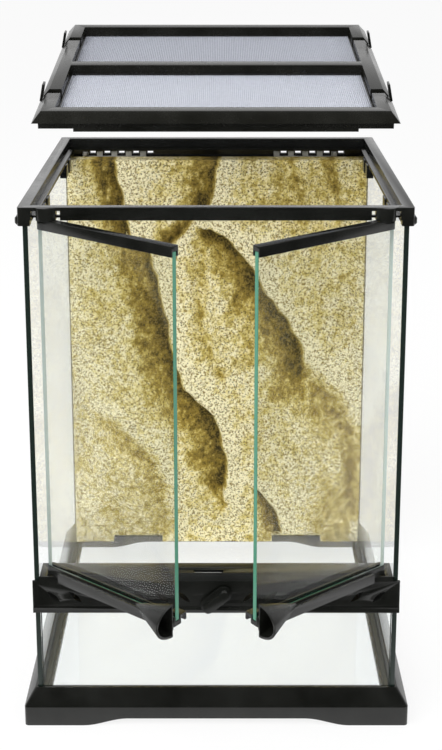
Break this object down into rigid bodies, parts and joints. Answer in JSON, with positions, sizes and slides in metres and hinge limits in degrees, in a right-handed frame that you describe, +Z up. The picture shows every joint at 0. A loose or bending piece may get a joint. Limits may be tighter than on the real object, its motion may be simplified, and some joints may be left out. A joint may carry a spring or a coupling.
{
  "type": "glass terrarium",
  "caption": "Front-opening glass terrarium with open hinged doors, a vent bar, a rock background and a lifted screen lid.",
  "frame": {"origin": "on the floor under the middle of the whole object, open doors included, to within 3 mm", "axes": "+Z up, +Y from the doors to the rock background, +X to the right seen from the front"},
  "size_m": [0.318, 0.4049, 0.5508],
  "materials": {
    "black_plastic": "smooth black moulding with a slight sheen",
    "lid_plastic": "fine-grained charcoal moulding",
    "grey_plastic": "smooth grey moulding",
    "glass": "clear float glass with polished edges",
    "silicone": "black silicone sealant",
    "steel": "turned steel",
    "mesh": "woven stainless wire",
    "rock_foam": "painted rigid foam with a rock relief"
  },
  "bodies": {
    "tank": {"base_frame": "black_plastic", "floor_pane": "glass", "floor_seal": "silicone", "front_lower_pane": "glass", "left_pane": "glass", "right_pane": "glass", "rear_pane": "glass", "left_corner_seal": "silicone", "right_corner_seal": "silicone", "top_frame": "black_plastic", "rock_background": "rock_foam", "vent_bar": "black_plastic", "vent_screen": "mesh", "left_top_hinge_pin": "steel", "left_bottom_hinge_pin": "steel", "right_top_hinge_pin": "steel", "right_bottom_hinge_pin": "steel"},
    "left_door": {"left_door_glass": "glass", "left_door_top_rail": "black_plastic", "left_door_bottom_rail": "black_plastic"},
    "right_door": {"right_door_glass": "glass", "right_door_top_rail": "black_plastic", "right_door_bottom_rail": "black_plastic"},
    "lock": {"lock_knob": "black_plastic", "lock_spindle": "steel", "lock_cam": "black_plastic", "lock_nut": "steel"},
    "lid": {"lid_frame": "lid_plastic", "front_lid_mesh": "mesh", "rear_lid_mesh": "mesh", "front_mesh_retainer": "lid_plastic", "rear_mesh_retainer": "lid_plastic"},
    "clip_left_front": {"left_front_clip": "black_plastic"},
    "clip_left_rear": {"left_rear_clip": "black_plastic"},
    "clip_right_front": {"right_front_clip": "black_plastic"},
    "clip_right_rear": {"right_rear_clip": "black_plastic"},
    "left_shutter": {"left_cable_shutter": "grey_plastic"},
    "right_shutter": {"right_cable_shutter": "grey_plastic"}
  },
  "joints": [
    {"name": "left_door_swing", "type": "hinge", "parent": "tank", "child": "left_door", "pos_m": [-0.13, -0.1063, 0.22], "axis": [0, 0, -1], "range_deg": [-38, 62]},
    {"name": "right_door_swing", "type": "hinge", "parent": "tank", "child": "right_door", "pos_m": [0.13, -0.1063, 0.22], "axis": [0, 0, 1], "range_deg": [-38, 62]},
    {"name": "lock_turn", "type": "hinge", "parent": "tank", "child": "lock", "pos_m": [0, -0.1098, 0.112], "axis": [0, 1, 0], "range_deg": [0, 85]},
    {"name": "lid_lift", "type": "hinge", "parent": "tank", "child": "lid", "pos_m": [0, -0.5588, 0.525], "axis": [1, 0, 0], "range_deg": [-8.6, 6]},
    {"name": "left_front_clip_turn", "type": "hinge", "parent": "lid", "child": "clip_left_front", "pos_m": [-0.1312, -0.03264, 0.51001], "axis": [0, 0.9888, 0.1495], "range_deg": [0, 79]},
    {"name": "left_rear_clip_turn", "type": "hinge", "parent": "lid", "child": "clip_left_rear", "pos_m": [-0.1312, 0.12951, 0.53453], "axis": [0, 0.9888, 0.1495], "range_deg": [0, 79]},
    {"name": "right_front_clip_turn", "type": "hinge", "parent": "lid", "child": "clip_right_front", "pos_m": [0.1312, -0.03264, 0.51001], "axis": [0, -0.9888, -0.1495], "range_deg": [0, 79]},
    {"name": "right_rear_clip_turn", "type": "hinge", "parent": "lid", "child": "clip_right_rear", "pos_m": [0.1312, 0.12951, 0.53453], "axis": [0, -0.9888, -0.1495], "range_deg": [0, 79]},
    {"name": "left_shutter_slide", "type": "slide", "parent": "tank", "child": "left_shutter", "axis": [1, 0, 0], "range_m": [0, 0.007]},
    {"name": "right_shutter_slide", "type": "slide", "parent": "tank", "child": "right_shutter", "axis": [1, 0, 0], "range_m": [0, 0.007]}
  ]
}
